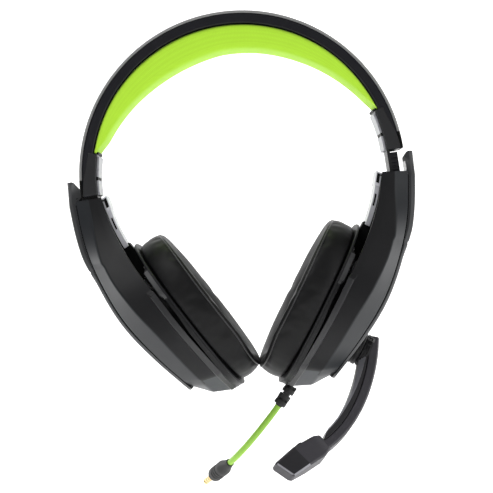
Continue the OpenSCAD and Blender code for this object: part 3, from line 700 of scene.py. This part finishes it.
def ear_cushion(side):
    place = ARM[side] @ TOE @ T((0, 0, CUSHION_LOW))
    n = 132
    out = even(oval(CUP_A - 2.4, CUP_B - 1.2), n)
    hole = even(oval(31.5, 24.5, e=2.2), n)
    # profile from the base outside, over the pad, into the opening: [share towards the hole, depth, bulge]
    prof = [(0.4, -0.1, 0), (0.0, -0.4, 0.1), (0.0, -1.4, 0.35), (0.0, -3.8, 0.5), (0.0, -6.6, 0.55),
            (0.0, -9.2, 0.35), (0.002, -10.7, 0.15), (0.014, -11.7, 0), (0.045, -12.6, 0), (0.09, -13.25, 0),
            (0.15, -13.6, 0), (0.28, -13.7, 0), (0.43, -13.5, 0), (0.57, -12.9, 0), (0.71, -11.8, 0),
            (0.83, -10.3, 0), (0.92, -8.5, 0), (0.98, -6.4, 0), (1.0, -4.2, 0), (1.0, -2.0, 0), (0.99, -0.4, 0)]

    def fuller(p):
        """The pad is deeper towards the front of the cup, and less so near its bottom."""
        return 1 + 0.19 * smooth(2, -34, p.x) * smooth(-44, -20, p.y)

    loops = []
    for share, x, bulge in prof:
        loop = []
        for i in range(n):
            p = out[i].lerp(hole[i], share)
            grow = 1 + bulge / max(p.length, 1)
            loop.append((x * fuller(p), p.x * grow, p.y * grow))
        loops.append(loop)
    verts, faces = rings(loops, capped=False)
    o = make(f"{side}_leather_pad", verts, faces, ["leather"], place, None, 80)
    held = {0: 1.0, 1: 1.0, 2: 0.7, 8: 0.6, 9: 0.25, len(prof) - 2: 0.8, len(prof) - 1: 1.0}
    pins = {j * n + i: w for j, w in held.items() for i in range(n)}
    puff(o, pins, 1.6, shrink=-0.02, cap=0.9)
    put(o, f"{side}_cup", f"{side}_ear_cushion")
    # welt where the side panel meets the face, lighter than the pad as a painted highlight line
    welt = []
    for i in range(n):
        p = out[i].lerp(hole[i], 0.04)
        welt.append((-12.6 * fuller(p), p.x * 1.003, p.y * 1.003))
    v, f = tube(welt, 0.36, 10, closed=True)
    put(make(f"{side}_pad_welt", v, f, ["welt"], place, None, 80), f"{side}_cup")
    # speaker cloth, slightly dished
    loops = []
    for s in (0.0, 0.15, 0.3, 0.45, 0.6, 0.75, 0.9, 1.0):
        x = -0.5 - 1.3 * (1 - s) * (1 - s)
        loops.append([(x, p.x * s * 1.005 + 1e-4 * i, p.y * s * 1.005) for i, p in enumerate(hole)])
    verts, faces = rings(loops, capped=False)
    uv = [(v[1], v[2]) for v in verts]
    o = make(f"{side}_cloth_disc", verts, faces, ["mesh"], place, None, 80, uv)
    put(o, f"{side}_cup", f"{side}_speaker_cloth")


def yoke_lug(side):
    """Block at the head of the cup that joins it to the arm and closes the gap there, deep black as painted
    shade in that gap.
    """
    side_view = [(2.6, 50.5), (9.0, 50.5), (9.0, 30.0), (4.9, 30.0), (4.9, 34.9), (2.6, 35.9)]
    loops = [[(x, y, z) for x, z in side_view] for y in (-7.5, 7.5)]
    v, f = rings(loops)
    put(make(f"{side}_yoke_lug", v, f, ["hollow"], ARM[side] @ CUP, width=0.4), f"{side}_arm")


for side in ("left", "right"):
    yoke_lug(side)
    baffle(side)
    ear_cushion(side)

# ---------------------------------------------------------------- headband


def arc(r, y, degrees):
    q = math.radians(degrees)
    return (r * math.cos(q), y, r * math.sin(q))


def sweep(name, profile, a0, a1, mats, steps=150, index=None):
    loops = [[arc(r, y, lerp(a0, a1, i / steps)) for r, y in profile] for i in range(steps + 1)]
    verts, faces = rings(loops)
    return make(name, verts, faces, mats, I4, index, 30)


def rounded(r0, r1, half, c, n=4):
    """Section of a band with round corners, as (radius, y)."""
    pts = []
    corners = ((r1 - c, half - c, 0), (r0 + c, half - c, 90),
               (r0 + c, -half + c, 180), (r1 - c, -half + c, 270))
    for cr, cy, s in corners:
        for i in range(n + 1):
            q = math.radians(s + 90 * i / n)
            pts.append((cr + c * math.cos(q), cy + c * math.sin(q)))
    return pts


# the rim, painted dark over its last few degrees at each end as the shadow of the trim plate's tip
section = rounded(BAND_R - SHELL_T, BAND_R, BAND_HALF, 0.7)
ends = [1 if i < 5 or i > 144 else 0 for i in range(150) for _ in section] + [1, 1]
o = sweep("band_rim", section, 0.3, 179.7, ["rim", "hollow"], index=ends)
put(o, "headband", "band_outer_shell")


def head_cushion():
    inner = BAND_IN - 0.15
    px, pz = math.sin(math.radians(PAD_ANGLE)) * BAND_IN, math.cos(math.radians(PAD_ANGLE)) * BAND_IN
    drop = (px * px + pz * pz - (BAND_IN - PAD_T)**2) / (2 * (BAND_IN - PAD_T - pz))
    rad = BAND_IN - PAD_T + drop
    half = BAND_HALF - 0.6
    steps = 150
    m = 44
    loops, uvs = [], []
    for i in range(steps + 1):
        a = lerp(-PAD_ANGLE + 0.4, PAD_ANGLE - 0.4, i / steps)
        q = math.radians(a)
        c, s = math.cos(q), math.sin(q)
        low = -drop * c + math.sqrt(max(0, rad * rad - drop * drop * s * s))
        t = max(0.25, inner - low)
        # fuller away from the middle, and fuller on the wearer's right
        near_end = smooth(PAD_ANGLE + 1, PAD_ANGLE - 8, abs(a))
        t += lerp(2.2, 1.0, smooth(-10, 20, a)) * near_end * smooth(-10, 40, abs(a))
        t += lerp(1.4, 0.3, smooth(-20, 20, a))
        loop = []
        for k in range(m):
            w = 2 * math.pi * k / m
            e = lerp(2.6, 7.0, min(1, t / 9))
            cy = math.copysign(abs(math.cos(w))**(2 / e), math.cos(w))
            cr = math.copysign(abs(math.sin(w))**(2 / e), math.sin(w))
            y = cy * half
            r = inner - t / 2 - cr * t / 2
            if cr > 0:
                r -= 0.55 * (1 - (y / half)**2) * min(1, t / 6)
            loop.append((r * s, y, r * c))
            uvs.append((a * 1.35, w * half * 0.62 + cr * 0.01))
        loops.append(loop)
    verts, faces = rings(loops)
    o = make("lime_head_pad", verts, faces, ["lime"], I4, None, 80, uvs)
    pins = {}
    for i in range(len(verts)):
        x, y, z = verts[i]
        r = math.hypot(x, z)
        if r > inner - 1.2:
            pins[i] = 1.0
        elif abs(y) > half - 0.9:
            pins[i] = 0.35
    puff(o, pins, 1.0, shrink=0.0, cap=0.4)
    put(o, "headband", "band_cushion")


head_cushion()

# blocks that close the cushion's ends against the end housings
for side in ("left", "right"):
    prof = rounded(BAND_IN - 2.9, BAND_IN - 0.1, BAND_HALF - 2.2, 0.4, 3)
    a0, a1 = (16.3, 17.3) if side == "left" else (162.7, 163.7)
    o = sweep(f"{side}_cushion_stop", prof, a0, a1, ["hollow"], 4)
    put(o, "headband")


for side in ("left", "right"):
    place = Matrix.Diagonal((-1, 1, 1, 1)) if side == "right" else I4
    # cheeks of the end housing on both flanks of the band
    for k, y in enumerate((-17.4, 16.6)):
        loops = []
        for i in range(25):
            q = 0.5 + 15.9 * i / 24
            r0, r1 = BAND_IN - 2.2, lerp(86.9, 84.2, smooth(1, 15, q))
            loops.append([arc(r0, y, q), arc(r1, y, q), arc(r1, y + 0.8, q), arc(r0, y + 0.8, q)])
        v, f = rings(loops)
        put(make(f"{side}_end_cheek_{k + 1}", v, f, ["cheek"], place, None, 30, width=0.25), "headband")
    # dark sheet across the size plate, painted shade in the gap
    sect = ((78.25, -14.05), (79.4, -14.05), (79.4, 14.05), (78.25, 14.05))
    v, f = rings([[arc(r, y, q) for r, y in sect] for q in (6.1, 6.8, 7.5)])
    put(make(f"{side}_plate_gap", v, f, ["hollow"], place), "headband")
    if side == "right":
        # seal round three sides of the slider; the left arm's set leaves no room for one
        sect = [(79.4, -15.2), (88.2, -15.2), (88.2, 15.2), (79.4, 15.2),
                (79.4, 12.4), (85.6, 12.4), (85.6, -12.4), (79.4, -12.4)]
        v, f = rings([[(x, y, z) for x, y in sect] for z in (-0.95, 0.4)])
        put(make("right_band_seal", v, f, ["hollow"], place, width=0.2), "headband")
    # two ridges down the slider's inner face
    for k, y in enumerate((-11.4, -3.0)):
        sect = [(79.46, y - 0.3), (79.65, y - 0.3), (79.65, y + 0.3), (79.46, y + 0.3)]
        v, f = rings([[(x, w, z) for x, w in sect] for z in (-1.0, 27.0)])
        put(make(f"{side}_slider_ridge_{k + 1}", v, f, ["rim"], SLIDE[side], width=0.05), f"{side}_arm")

# ---------------------------------------------------------------- microphone
BOOM_LINE = [(-6.6, 4.6), (13, 12.0), (47, 16.8), (70, 2.2)]
HEAD_LINE = (Vector((59, 7.6)), Vector((91, -8.8)))
HUB_R = 9.5


def boom_part(name, lo, hi, mats, lit=()):
    """The boom between two shares of its depth; the lit sides of its section take the second material, a
    painted highlight.
    """
    loops = []
    n = 60
    for i in range(n + 1):
        t = i / n
        p, d = bez(BOOM_LINE, t), bez_dir(BOOM_LINE, t)
        w, q = lerp(5.0, 4.3, t), lerp(6.2, 4.6, t)
        c = lerp(3.2, 0.8, smooth(0, 0.75, t))
        a, b = lo * w, hi * w
        if lo < -0.9:
            sect = [(a, q - c * 1.3), (a + c, q), (b - 0.25, q), (b, q - 0.25),
                    (b, -q + 0.25), (b - 0.25, -q), (a + c, -q), (a, -q + c * 1.3)]
        else:
            sect = [(a, q - 0.25), (a + 0.25, q), (b - 1.0, q), (b, q - 1.0), (b, -q + 1.0), (b - 1.0, -q),
                    (a + 0.25, -q), (a, -q + 0.25)]
        loops.append([(max(3.3, p[1] + s * d[0]), y, -p[0] + s * d[1]) for s, y in sect])
    verts, faces = rings(loops)
    index = [1 if k in lit else 0 for _ in range(n) for k in range(8)] + [0, 0]
    return make(name, verts, faces, mats, BOOM, index, 24, width=0.22)


# the inner half is dark as painted shade, with a painted highlight on its lit chamfers
inner_half = boom_part("boom_inner_half", -1, -0.2, ["boom_dark_painted_shade", "boom_light_painted_highlight"], lit=(0, 6))
put(inner_half, "boom", "boom_shell")
put(boom_part("boom_outer_half", -0.12, 1, ["boom"]), "boom", "boom_cover")
# dark core that shows in the groove between the halves, painted shade in the groove
core = []
for i in range(41):
    t = lerp(0.02, 0.99, i / 40)
    p, d = bez(BOOM_LINE, t), bez_dir(BOOM_LINE, t)
    w, q = lerp(5.0, 4.3, t), lerp(6.2, 4.6, t) - 0.45
    core.append([(max(3.4, p[1] + s * d[0]), y, -p[0] + s * d[1]) for s, y in
                 ((-0.35 * w, q), (0.1 * w, q), (0.1 * w, -q), (-0.35 * w, -q))])
v, f = rings(core)
put(make("boom_core", v, f, ["hollow"], BOOM), "boom")


def outward(place):
    """Turns +z of a revolved piece to the outward direction of a frame."""
    return place @ turn(90, "Y")


v, f = revolve([(0.5, -0.9), (HUB_R, -0.9), (HUB_R, 0.2), (HUB_R - 0.45, 0.35), (HUB_R - 0.45, 0.8),
                (HUB_R, 0.95), (HUB_R, 2.4), (HUB_R - 0.5, 2.95), (0.5, 2.98)], 96)
put(make("hub_socket", v, f, ["ring"], outward(HUB), None, 30), "left_arm", "left_mic_socket")
r1 = HUB_R - 0.7
prof = [(0.5, 3.1), (r1 - 0.6, 3.1), (r1, 3.5), (r1, 4.2), (r1 - 0.5, 4.35), (r1 - 0.5, 4.8), (r1, 4.95),
        (r1, 5.7), (r1 - 0.5, 5.85), (r1 - 0.5, 6.3), (r1, 6.45), (r1 - 0.3, 7.5), (0.5, 7.6)]
v, f = revolve(prof, 96)
put(make("hub_knuckle", v, f, ["ring"], outward(BOOM), None, 30), "boom")
for k in range(18):
    q = 2 * math.pi * k / 18
    rib = [(r1 * math.cos(q + a), r1 * math.sin(q + a)) for a in (-0.05, 0.05)]
    inner = [(x * 0.93, y * 0.93) for x, y in rib]
    outer = [(x * 1.035, y * 1.035) for x, y in rib]
    sect = [inner[0], outer[0], outer[1], inner[1]]
    v, f = rings([[(x, y, z) for x, y in sect] for z in (3.6, 6.6)])
    put(make(f"hub_rib_{k + 1}", v, f, ["ring"], outward(BOOM), width=0.15), "boom")


def mic_head():
    a, b = HEAD_LINE
    d = (b - a).normalized()
    length = (b - a).length
    # distance along, extent inwards and outwards, front and back faces, and how much the section leans
    shape = [(7.4, -4.4, 5.3, -4.5, 4.8, 0.0), (10.6, -5.6, 6.3, -5.3, 5.5, 0.0),
             (13.6, -5.8, 6.9, -5.9, 5.8, 0.0), (24.6, -6.6, 6.6, -6.3, 6.0, 0.1),
             (length - 0.7, -5.9, 5.9, -3.0, 5.2, 0.32),
             (length + 0.2, -5.2, 5.2, -2.6, 4.7, 0.32)]
    c = 0.9
    loops = []
    for dist, lo, hi, front, back, lean in shape:
        loop = []
        for s, y in ((lo, back - c), (lo + c, back), (hi - c, back), (hi, back - c),
                     (hi, front + c), (hi - c, front), (lo + c, front), (lo, front + c)):
            p = a + d * (dist - lean * s)
            loop.append((p[1] + s * d[0], y, -p[0] + s * d[1]))
        loops.append(loop)
    verts, faces = rings(loops)
    # the front face's slant near the tip is painted dark as shade; the chamfer beside it and the front at the
    # very tip take a painted highlight
    index = []
    for k in range(len(loops) - 1):
        for i in range(8):
            index.append({(3, 5): 1, (3, 4): 2, (4, 5): 2}.get((k, i), 0))
    index += [0, 0]
    o = make("mic_head_shell", verts, faces, ["boom", "boom_dark_painted_shade", "boom_light_painted_highlight"], BOOM, index, 20, width=0.2)
    put(o, "boom", "mic_head")


mic_head()

# ---------------------------------------------------------------- cable
DOWN = CABLE @ turn(180, "X")
v, f = revolve([(1.8, -0.4), (2.1, -0.4), (2.1, 12.4), (1.8, 12.9)], 48)
put(make("relief_core", v, f, ["rubber"], DOWN, None, 30), "left_arm", "strain_relief")
for i in range(3):
    z = 1.6 + 3.9 * i
    v, f = revolve([(1.9, z), (3.1, z), (3.4, z + 0.25), (3.4, z + 2.45), (3.1, z + 2.7), (1.9, z + 2.7)], 48)
    put(make(f"relief_collar_{i + 1}", v, f, ["rubber"], DOWN, None, 30), "left_arm")
    # webs that join neighbouring collars, a quarter turn on each time
    for s in (-1, 1):
        sect = [(1.9, -1.3), (3.2, -1.3), (3.2, 1.3), (1.9, 1.3)]
        if i % 2:
            sect = [(y, -x) for x, y in sect]
        z0 = z - 1.4 if i else -0.6
        v, f = rings([[(s * x, s * y, h) for x, y in sect] for h in (z0, z + 0.2)])
        name = f"relief_web_{i + 1}_{'a' if s < 0 else 'b'}"
        put(make(name, v, f, ["rubber"], DOWN, width=0.15), "left_arm")

CABLE_LINE = [(0, 0, -15), (-0.5, 0, -28), (-2, 1, -46), (-4, 18, -55)]
pts = [(0, 0, -3), (0, 0, -9)] + [tuple(bez(CABLE_LINE, i / 60)) for i in range(61)]
v, f = tube(pts, 1.75, 24)
put(make("lime_cable", v, f, ["cable"], CABLE, None, 60), "left_arm", "cable")
end, along = Vector(CABLE_LINE[3]), bez_dir(CABLE_LINE, 1)
PLUG = CABLE @ T(end) @ Vector((0, 0, 1)).rotation_difference(along).to_matrix().to_4x4()
prof = [(1.8, -3.4), (2.3, -3.2), (2.7, 0.0)]
for i in range(4):
    z = 7.4 + 2.6 * i
    groove = [(4.2, z - 0.7), (3.85, z - 0.4), (3.85, z + 0.4), (4.2, z + 0.7)]
    prof += groove if i else [(3.6, 4), (4.2, 6), (4.2, z)]
prof += [(4.2, 19.6), (3.8, 20.7), (3.4, 21), (0.4, 21)]
v, f = revolve(prof, 64)
put(make("plug_grip", v, f, ["rubber"], PLUG, None, 30), "left_arm", "plug_body")

# ---------------------------------------------------------------- materials of the CAD nodes that stay
KEPT = {"hollow": ("boom_screw", "grille"), "steel": ("screw", "spring", "pins", "magnet", "capsule"),
        "plate": ("size_plate", "end_clip"), "silver": ("neck_plate",), "film": ("diaphragm",),
        "brass": ("plug_contacts",), "board": ("terminal_board",),
        "band": ("band_inner_frame", "end_housing", "carrier"), "rubber": ("signal_wire",), "black": ("",)}
BEVELS = {"end_housing": 0.35, "size_plate": 0.12, "end_clip": 0.12, "neck_plate": 0.15, "slider": 0.2,
          "carrier": 0.2, "band_inner_frame": 0.4}
for name, o in frame["nodes"].items():
    if name in ("left_slider", "right_slider"):
        key = "gunmetal"
    else:
        key = next(k for k, parts in KEPT.items() if any(p in name for p in parts))
    o.data.materials.clear()
    o.data.materials.append(M[key])
    for part, w in BEVELS.items():
        if name.endswith(part):
            b = o.modifiers.new("edges", "BEVEL")
            b.width = w * MM
            b.segments = 2
            b.limit_method = "ANGLE"
            b.angle_limit = math.radians(35)

# ---------------------------------------------------------------- floor, light and camera


def plain(name, color, glow):
    m = bpy.data.materials.new(name)
    m.use_nodes = True
    p = m.node_tree.nodes["Principled BSDF"]
    p.inputs["Base Color"].default_value = (*color, 1)
    p.inputs["Roughness"].default_value = 0.9
    p.inputs["Emission Color"].default_value = (1, 1, 1, 1)
    p.inputs["Emission Strength"].default_value = glow
    return m


FLOOR_Z, FLOOR_BACK, FLOOR_BEND, FLOOR_REACH = -0.200, 0.6, 0.5, 3.0


def sweep_floor():
    """Pale paper that runs flat under the piece and bends up behind it; sizes in metres."""
    prof = [(-FLOOR_REACH, FLOOR_Z), (FLOOR_BACK, FLOOR_Z)]
    for i in range(1, 13):
        q = math.radians(90 * i / 12)
        prof.append((FLOOR_BACK + FLOOR_BEND * math.sin(q), FLOOR_Z + FLOOR_BEND - FLOOR_BEND * math.cos(q)))
    prof.append((FLOOR_BACK + FLOOR_BEND, FLOOR_REACH))
    verts = [(x, y, z) for y, z in prof for x in (-FLOOR_REACH, FLOOR_REACH)]
    faces = [(2 * i, 2 * i + 1, 2 * i + 3, 2 * i + 2) for i in range(len(prof) - 1)]
    me = bpy.data.meshes.new("floor")
    me.from_pydata(verts, [], faces)
    for p in me.polygons:
        p.use_smooth = True
    me.materials.append(plain("floor_paper", (0.90, 0.90, 0.90), 0.60))
    o = bpy.data.objects.new("floor", me)
    scene.collection.objects.link(o)


sweep_floor()


def lamp(name, at, look, size, power):
    data = bpy.data.lights.new(name, "AREA")
    data.shape = "RECTANGLE"
    data.size, data.size_y = size
    data.energy = power
    o = bpy.data.objects.new(name, data)
    o.location = at
    o.rotation_euler = (Vector(look) - Vector(at)).to_track_quat("-Z", "Y").to_euler()
    scene.collection.objects.link(o)


lamp("key", (-0.5, -0.75, 0.95), (0, 0, -0.02), (0.8, 0.6), 5.6)
lamp("fill", (0.9, -0.7, 0.2), (0, 0, -0.04), (0.5, 0.9), 2.2)
lamp("rim_left", (-0.8, 0.5, 0.35), (0, 0, -0.02), (0.3, 0.9), 4)
lamp("rim_right", (0.8, 0.45, 0.4), (0, 0, -0.02), (0.3, 0.9), 4)
lamp("top", (0, 0.1, 1.2), (0, 0, 0), (0.9, 0.5), 4)
# white where the camera sees it, and dim as a light
world = bpy.data.worlds.new("studio")
world.use_nodes = True
world.node_tree.nodes["Background"].inputs["Color"].default_value = (1, 1, 1, 1)
seen = world.node_tree.nodes.new("ShaderNodeLightPath")
level = world.node_tree.nodes.new("ShaderNodeMapRange")
level.inputs["To Min"].default_value = 0.20
level.inputs["To Max"].default_value = 1.0
world.node_tree.links.new(seen.outputs["Is Camera Ray"], level.inputs["Value"])
world.node_tree.links.new(level.outputs["Result"], world.node_tree.nodes["Background"].inputs["Strength"])
scene.world = world

cam = bpy.data.cameras.new("camera")
cam.lens = 146.1
cam.sensor_width = 36
cam.clip_end = 20
camera = bpy.data.objects.new("camera", cam)
camera.matrix_world = T((-0.0038, -1.1, -0.0395)) @ turn(90, "X") @ turn(-8.85, "Z")
scene.collection.objects.link(camera)
scene.camera = camera

for o in list(bpy.data.objects):
    if o.type == "MESH" and o.name != "floor" and not any(m.type == "SUBSURF" for m in o.modifiers):
        w = o.modifiers.new("weighted", "WEIGHTED_NORMAL")
        w.keep_sharp = True
